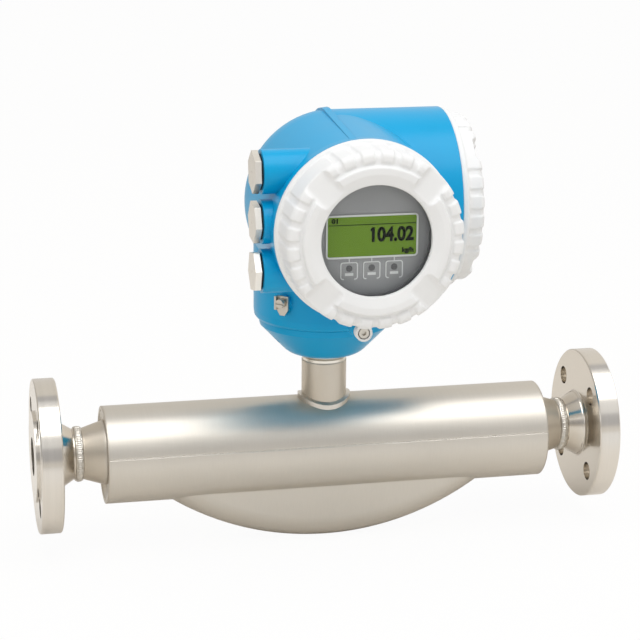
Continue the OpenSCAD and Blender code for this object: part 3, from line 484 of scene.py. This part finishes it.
displayPrint = {
    "ink": 0.15 * mm,          # how far the print stands out of the face
    "border": 1.25 * mm,
    "borderGap": 0.1 * mm,
    "corner": 1.6 * mm,
    "digits": "104.02",
    "digitHeight": 10.5 * mm,
    "digitRise": 1.0 * mm,     # of their middle over the screen's
    "digitShape": (0.86, 0.042),                # how wide the letters are drawn, and how bold
    "flag": (1.5 * mm, 1.9 * mm, 1.35 * mm),    # how far the 1's flag reaches left and down, and its width
    "unit": "kg/h",
    "unitHeight": 4.6 * mm,
    "unitRise": 0.6 * mm,
    "unitShape": (1.1, 0.055),
    "tag": "01",
    "tagHeight": 3.5 * mm,
    "tagEnd": 7 * mm,          # from the screen's left edge
    "tagRise": 1.2 * mm,       # over the header's line
    "tagShape": (1.2, 0.06),
    "headerDrop": 5.6 * mm,
    "headerLine": 0.55 * mm,
    "headerInset": 0.3 * mm,
    "margin": 1.8 * mm,
    "keyWidth": 11.6 * mm,
    "keyCorner": 1.6 * mm,
    "keyFoot": 2.2 * mm,       # how far the open frame runs back under the key
    "keyLine": 0.75 * mm,
    "keyStem": 2.6 * mm,
    "keyDot": 2.3 * mm,
    "keyDotRise": 0.3,         # shares of half the frame's width
    "keyBarDrop": 0.42,
    "keyBarReach": 2.9 * mm,
    "keyBarWidth": 1.9 * mm,
}
faceY = screenLow.y
screenMidX = (screenLow.x + screenHigh.x) / 2
screenMidZ = (screenLow.z + screenHigh.z) / 2
screenWidth = screenHigh.x - screenLow.x
screenHeight = screenHigh.z - screenLow.z


def screenBorder():
    look = displayPrint
    bm = bmesh.new()
    gap = look["borderGap"]
    rim = gap + look["border"]
    inner = roundedOutline(screenWidth + 2 * gap, screenHeight + 2 * gap, look["corner"])
    outer = roundedOutline(screenWidth + 2 * rim, screenHeight + 2 * rim, look["corner"] + look["border"])
    shift = Vector((screenMidX, screenMidZ))
    strip(bm, [p + shift for p in inner], [p + shift for p in outer], faceY, faceY - 2 * look["ink"])
    return addPiece("screenBorder", meshFrom("screenBorder", bm), "display", "display_grey", "print_white")


def screenText(name, text, height, right, bottom, shape):
    wide, bold = shape
    depth = 0.01                        # of the letters as drawn, before they are brought to size
    curve = bpy.data.curves.new(name, "FONT")
    curve.body = text
    curve.align_x = "RIGHT"
    curve.offset = bold
    curve.extrude = depth
    curve.resolution_u = 6
    holder = newObject(name, curve)
    mesh = grownMesh(holder)
    bpy.data.objects.remove(holder)
    xs = [v.co.x for v in mesh.vertices]
    ys = [v.co.y for v in mesh.vertices]
    size = height / (max(ys) - min(ys))
    for v in mesh.vertices:
        x = right + (v.co.x - max(xs)) * size * wide
        z = bottom + (v.co.y - min(ys)) * size
        v.co = (x, faceY - (v.co.z / depth * 0.5 + 0.5) * displayPrint["ink"], z)
    return addPiece(name, mesh, "display", "display_grey", "print_black")


def digitFlag(digits):             # the slanting stroke at the top of the 1
    left = min(v.co.x for v in digits.data.vertices)
    top = max(v.co.z for v in digits.data.vertices)
    reach, drop, width = displayPrint["flag"]
    start = Vector((left + width / 2, top - width / 2))
    bm = bmesh.new()
    one, other = stroke([start, start - Vector((reach, drop))], width)
    strip(bm, one, other, faceY, faceY - displayPrint["ink"], closed=False)
    return addPiece("digitFlag", meshFrom("digitFlag", bm), "display", "display_grey", "print_black")


def screenTexts():
    look = displayPrint
    edge = screenHigh.x - look["margin"]
    middle = screenMidZ + look["digitRise"] - look["digitHeight"] / 2
    digits = screenText("flowDigits", look["digits"], look["digitHeight"], edge, middle, look["digitShape"])
    digitFlag(digits)
    foot = screenLow.z + look["unitRise"]
    screenText("flowUnit", look["unit"], look["unitHeight"], edge, foot, look["unitShape"])
    end, top = screenLow.x + look["tagEnd"], screenHigh.z - look["headerDrop"] + look["tagRise"]
    screenText("channelTag", look["tag"], look["tagHeight"], end, top, look["tagShape"])


def headerRule():
    look = displayPrint
    bm = bmesh.new()
    z = screenHigh.z - look["headerDrop"]
    inset = look["headerInset"]
    ends = [Vector((screenLow.x + inset, z)), Vector((screenHigh.x - inset, z))]
    left, right = stroke(ends, look["headerLine"])
    strip(bm, left, right, faceY, faceY - look["ink"], closed=False)
    return addPiece("headerRule", meshFrom("headerRule", bm), "display", "display_grey", "print_black")


def keyMarks():                    # an open frame with a stem, a light well and a bar, on each key
    look = displayPrint
    keyLow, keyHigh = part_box("touch_keys")
    size = keyHigh.z - keyLow.z
    pitch = (keyHigh.x - keyLow.x - size) / 2
    keyZ = (keyLow.z + keyHigh.z) / 2
    keyY = keyLow.y
    steps = 24
    disc = [Matrix.Rotation(2 * math.pi * k / steps, 2) @ Vector((1, 0)) for k in range(steps)]
    pinhole = 0.02 * mm                 # what the middle of a disc leaves open
    frames, wells, bars = bmesh.new(), bmesh.new(), bmesh.new()
    for i in (-1, 0, 1):
        centre = Vector((screenMidX + i * pitch, keyZ))
        half = look["keyWidth"] / 2
        outline = [centre + p for p in roundedOutline(2 * half, 2 * half, look["keyCorner"])]
        corner = len(outline) // 4
        run = outline[3 * corner:] + outline[:3 * corner]
        foot = half - look["keyFoot"]
        run = [centre + Vector((foot, -half))] + run + [centre + Vector((-foot, -half))]
        left, right = stroke(run, look["keyLine"])
        strip(frames, left, right, keyY, keyY - look["ink"], closed=False)
        stem = [centre + Vector((0, half)), centre + Vector((0, half + look["keyStem"]))]
        left, right = stroke(stem, look["keyLine"])
        strip(frames, left, right, keyY, keyY - look["ink"], closed=False)
        well = centre + Vector((0, look["keyDotRise"] * half))
        hub, dot = [well + pinhole * p for p in disc], [well + look["keyDot"] * p for p in disc]
        strip(wells, hub, dot, keyY, keyY - look["ink"])
        reach, drop = look["keyBarReach"], look["keyBarDrop"] * half
        bar = [centre + Vector((-reach, -drop)), centre + Vector((reach, -drop))]
        left, right = stroke(bar, look["keyBarWidth"])
        strip(bars, left, right, keyY, keyY - look["ink"], closed=False)
    addPiece("keyFrames", meshFrom("keyFrames", frames), "display", "key_grey", "print_white")
    addPiece("keyWells", meshFrom("keyWells", wells), "display", "key_grey", "key_well")
    addPiece("keyBars", meshFrom("keyBars", bars), "display", "key_grey", "print_white")


coatCover("front_cover")
coatCover("side_cover")
screenBorder()
screenTexts()
headerRule()
keyMarks()
print("display printed")


beadLook = {                            # a weld's ripples: spacing, then half of each one's three sizes
    "neck": {"spacing": 1.9 * mm, "size": (1.7 * mm, 2.6 * mm, 0.75 * mm)},
    "butt": {"spacing": 1.6 * mm, "size": (1.3 * mm, 2.7 * mm, 0.9 * mm)},
    "seam": {"spacing": 1.1 * mm, "size": (0.95 * mm, 0.75 * mm, 0.5 * mm)},
    "neckOut": 1.1 * mm,                # from the neck's wall to the ripples' line
    "neckRise": 0.9 * mm,               # from the tube's wall to it
    "buttProud": 0.25 * mm,
    "seamProud": 0.1 * mm,
    "seamInset": 1 * mm,                # what each end of a seam leaves plain
    "circlePoints": 72,
    "seamPoints": 60,
    "seed": 4,
}


def rippleTree(paint):                  # flattened beads on a path, each turned to it and outward
    tree = bpy.data.node_groups.new("weldRipples", "GeometryNodeTree")
    tree.interface.new_socket("Geometry", in_out="INPUT", socket_type="NodeSocketGeometry")
    tree.interface.new_socket("Spacing", in_out="INPUT", socket_type="NodeSocketFloat")
    tree.interface.new_socket("Bead Size", in_out="INPUT", socket_type="NodeSocketVector")
    tree.interface.new_socket("Seed", in_out="INPUT", socket_type="NodeSocketInt")
    tree.interface.new_socket("Geometry", in_out="OUTPUT", socket_type="NodeSocketGeometry")
    bench = Bench(tree)
    given = bench.node("NodeGroupInput").socket.node
    path, spacing, size, seed = [Wire(bench, out) for out in given.outputs[:4]]
    curve = bench.node("GeometryNodeMeshToCurve", values={"Mesh": path})
    evenly = bench.node("GeometryNodeResampleCurve", {"mode": "LENGTH"}, {"Curve": curve, "Length": spacing})
    outward = bench.node("GeometryNodeInputNamedAttribute", {"data_type": "FLOAT_VECTOR"},
                         {"Name": "outward"})
    along = bench.node("GeometryNodeInputTangent")
    upright = bench.node("FunctionNodeAlignRotationToVector", {"axis": "Z"}, {"Vector": outward})
    turned = bench.node("FunctionNodeAlignRotationToVector", {"axis": "X", "pivot_axis": "Z"},
                        {"Rotation": upright, "Vector": along})
    low, high = (0.85, 0.8, 0.75), (1.15, 1.2, 1.3)
    uneven = bench.node("FunctionNodeRandomValue", {"data_type": "FLOAT_VECTOR"},
                        {"Min": low, "Max": high, "Seed": seed})
    sizes = bench.node("ShaderNodeVectorMath", {"operation": "MULTIPLY"}, {0: size, 1: uneven})
    bead = bench.node("GeometryNodeMeshUVSphere", values={"Segments": 10, "Rings": 6, "Radius": 1.0})
    beads = bench.node("GeometryNodeInstanceOnPoints", values={"Points": evenly, "Instance": bead,
                                                               "Rotation": turned, "Scale": sizes})
    real = bench.node("GeometryNodeRealizeInstances", values={"Geometry": beads})
    smooth = bench.node("GeometryNodeSetShadeSmooth", values={"Geometry": real})
    done = bench.node("GeometryNodeSetMaterial", values={"Geometry": smooth, "Material": paint})
    end = tree.nodes.new("NodeGroupOutput")
    tree.links.new(done.socket, end.inputs[0])
    return tree


def layBeads(name, points, outwards, closed, look, tree):
    bm = bmesh.new()
    side = bm.verts.layers.float_vector.new("outward")
    verts = []
    for point, outward in zip(points, outwards):
        vert = bm.verts.new(point)
        vert[side] = outward
        verts.append(vert)
    for i in range(len(verts) if closed else len(verts) - 1):
        bm.edges.new((verts[i], verts[(i + 1) % len(verts)]))
    mesh = bpy.data.meshes.new(name)
    bm.to_mesh(mesh)
    bm.free()
    piece = newObject(name, mesh)
    modifier = piece.modifiers.new("ripples", "NODES")
    modifier.node_group = tree
    ids = {s.name: s.identifier for s in tree.interface.items_tree if s.in_out == "INPUT"}
    modifier[ids["Spacing"]] = look["spacing"]
    modifier[ids["Bead Size"]] = look["size"]
    modifier[ids["Seed"]] = beadLook["seed"]
    grown = grownMesh(piece)
    piece.modifiers.remove(modifier)
    piece.data = grown
    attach(piece, "sensor")
    return piece


def weldBeads():
    tree = rippleTree(paints["weld_steel"])
    count = beadLook["circlePoints"]
    circle = [2 * math.pi * k / count for k in range(count)]
    reach = neckRadius + beadLook["neckOut"]
    points, outwards = [], []
    for angle in circle:                # where the neck's cylinder meets the tube's, in the fillet
        x, y = reach * math.cos(angle), reach * math.sin(angle)
        z = math.sqrt(bodyRadius ** 2 - y ** 2)
        fromTube = Vector((0, y, z)).normalized()
        fromNeck = Vector((x, y, 0)).normalized()
        outward = (fromTube + fromNeck).normalized()
        points.append(Vector((midX + x, y, bodyZ + z)) + beadLook["neckRise"] * fromTube)
        outwards.append(outward)
    layBeads("neckWeldRipples", points, outwards, True, beadLook["neck"], tree)
    weldRadius = (weldHigh.z - weldLow.z) / 2
    weldX = (weldLow.x + weldHigh.x) / 2
    spokes = [Vector((0, math.cos(angle), math.sin(angle))) for angle in circle]
    for name, place in (("inletWeldRipples", weldX), ("outletWeldRipples", 2 * midX - weldX)):
        inner = weldRadius - beadLook["butt"]["size"][2] + beadLook["buttProud"]
        points = [Vector((place, 0, flowZ)) + inner * spoke for spoke in spokes]
        layBeads(name, points, spokes, True, beadLook["butt"], tree)
    seamZ = (seamLow.z + seamHigh.z) / 2
    seamY = math.sqrt(bodyRadius ** 2 - (seamZ - bodyZ) ** 2)
    skin = bodyRadius + beadLook["seamProud"]
    start = seamLow.x + beadLook["seamInset"]
    run = seamHigh.x - seamLow.x - 2 * beadLook["seamInset"]
    count = beadLook["seamPoints"]
    xs = [start + run * k / count for k in range(count + 1)]
    for name, seam, side in (("frontSeamRipples", "front_seam", -1), ("rearSeamRipples", "rear_seam", 1)):
        outward = Vector((0, side * seamY, seamZ - bodyZ)).normalized()
        points = [Vector((x, 0, bodyZ)) + skin * outward for x in xs]
        bead = layBeads(name, points, [outward] * len(points), False, beadLook["seam"], tree)
        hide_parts(seam)


weldBeads()
print("welds rippled")


studio = {
    "floorSize": 60.0,
    "floorColour": rgb(0.87, 0.83, 0.775),
    "shadowShare": 0.05,                # how much of the floor's own shading shows in its white
    "floorGloss": 0.48,                 # how white gloss sees the floor in front
    "floorGlossOutlet": 0.52,           # how much whiter by the outlet
    "floorGlossReach": 0.5,             # how far from the middle that is reached
    "floorDark": 0.2,                   # how far in front the floor reaches that white
    "roomLight": 0.72,                  # what the room gives to matt surfaces
    "towardsOutlet": 0.35,              # how much brighter the room is on the outlet's side, in gloss
    "room": [                           # what gloss shows, by degrees over the front horizon
        (-180, rgb(0.62, 0.60, 0.57)), (-10, rgb(0.62, 0.60, 0.57)), (0, rgb(0.74, 0.71, 0.67)),
        (8, rgb(0.74, 0.71, 0.67)), (10, rgb(0.48, 0.48, 0.49)), (27, rgb(0.53, 0.53, 0.54)),
        (30, rgb(0.86, 0.86, 0.86)), (104, rgb(0.86, 0.86, 0.87)), (106, rgb(0.52, 0.52, 0.53)),
        (116, rgb(0.52, 0.52, 0.53)), (118, rgb(0.80, 0.77, 0.72)), (180, rgb(0.74, 0.71, 0.67))],
    "softbox": {"place": (0.32, -0.55, 1.55), "aim": (0.22, 0.0, 0.05), "size": (1.7, 1.3), "power": 15.5},
    "fill": {"place": (-1.7, -1.2, 0.7), "aim": (0.22, 0.0, 0.08), "size": (1.0, 1.0), "power": 2.5},
}
view = {
    "place": (-0.10386, -1.41823, 0.47781),
    "yaw": 12.738,
    "pitch": 14.814,
    "roll": 0.401,
    "lens": 112.88,
}


def layFloor():
    half = studio["floorSize"] / 2
    bm = bmesh.new()
    sides = ((-1, -1), (1, -1), (1, 1), (-1, 1))
    bm.faces.new([bm.verts.new((sx * half, sy * half, cadBox[0].z)) for sx, sy in sides])
    mesh = bpy.data.meshes.new("studioFloor")
    bm.to_mesh(mesh)
    bm.free()
    floor = newObject("studioFloor", mesh)
    paint = Paint("floorWhite", {"Base Color": studio["floorColour"], "Roughness": 0.9})
    seen = paint.node("ShaderNodeLightPath", out="Is Camera Ray")
    white = paint.node("ShaderNodeEmission", values={"Color": rgb(1, 1, 1), "Strength": 1.0})
    own = Wire(paint, paint.surface.outputs[0])
    glossy = paint.node("ShaderNodeLightPath", out="Is Glossy Ray")
    x, y, z = paint.parts(paint.place())
    ahead = (0 - y).above(studio["floorDark"], studio["floorDark"])
    outlet = x.above(midX, studio["floorGlossReach"])
    shine = glossy * ahead * (studio["floorGloss"] + outlet * studio["floorGlossOutlet"])
    share = seen * (1 - studio["shadowShare"]) + shine
    both = paint.node("ShaderNodeMixShader", values={0: share, 1: own, 2: white})
    paint.feed(paint.tree.nodes["Material Output"].inputs["Surface"], both)
    floor.data.materials.append(paint.material)


def lightWorld():
    world = bpy.data.worlds.new("studioWorld")
    world.use_nodes = True
    bpy.context.scene.world = world
    bench = Bench(world.node_tree)
    camera = bench.node("ShaderNodeLightPath", out="Is Camera Ray")
    glossy = bench.node("ShaderNodeLightPath", out="Is Glossy Ray")
    through = bench.node("ShaderNodeLightPath", out="Is Transmission Ray")
    side, ahead, up = bench.parts(bench.node("ShaderNodeTexCoord", out="Generated"))
    share = up.turn(0 - ahead) * (0.5 / math.pi) + 0.5
    stops = [((degrees + 180) / 360, colour) for degrees, colour in studio["room"]]
    room = bench.node("ShaderNodeValToRGB", {"stops": stops}, {0: share})
    colour = bench.mixed(glossy, rgb(1, 1, 1), room)
    shown = camera.orMore(glossy).orMore(through)
    strength = studio["roomLight"] + shown * (1 - studio["roomLight"])
    background = world.node_tree.nodes["Background"]
    bench.feed(background.inputs["Color"], colour)
    bench.feed(background.inputs["Strength"], strength * (1 + side * glossy * studio["towardsOutlet"]))


def hangSoftbox(name, look):
    lamp = bpy.data.lights.new(name, "AREA")
    lamp.shape = "RECTANGLE"
    lamp.size, lamp.size_y = look["size"]
    lamp.energy = look["power"]
    holder = newObject(name, lamp)
    holder.location = look["place"]
    aim = Vector(look["aim"]) - Vector(look["place"])
    holder.rotation_euler = aim.to_track_quat("-Z", "Y").to_euler()


def setCamera():
    camera = bpy.data.cameras.new("studioCamera")
    camera.lens = view["lens"]
    camera.sensor_width = 36.0
    camera.clip_end = 100.0
    holder = newObject("studioCamera", camera)
    turn = (Matrix.Rotation(-math.radians(view["yaw"]), 4, "Z")
            @ Matrix.Rotation(math.radians(90 - view["pitch"]), 4, "X")
            @ Matrix.Rotation(math.radians(view["roll"]), 4, "Z"))
    holder.matrix_world = Matrix.Translation(view["place"]) @ turn
    bpy.context.scene.camera = holder


layFloor()
lightWorld()
hangSoftbox("softbox", studio["softbox"])
hangSoftbox("fillPanel", studio["fill"])
setCamera()
bpy.context.scene.view_settings.view_transform = "Standard"
print("studio set")
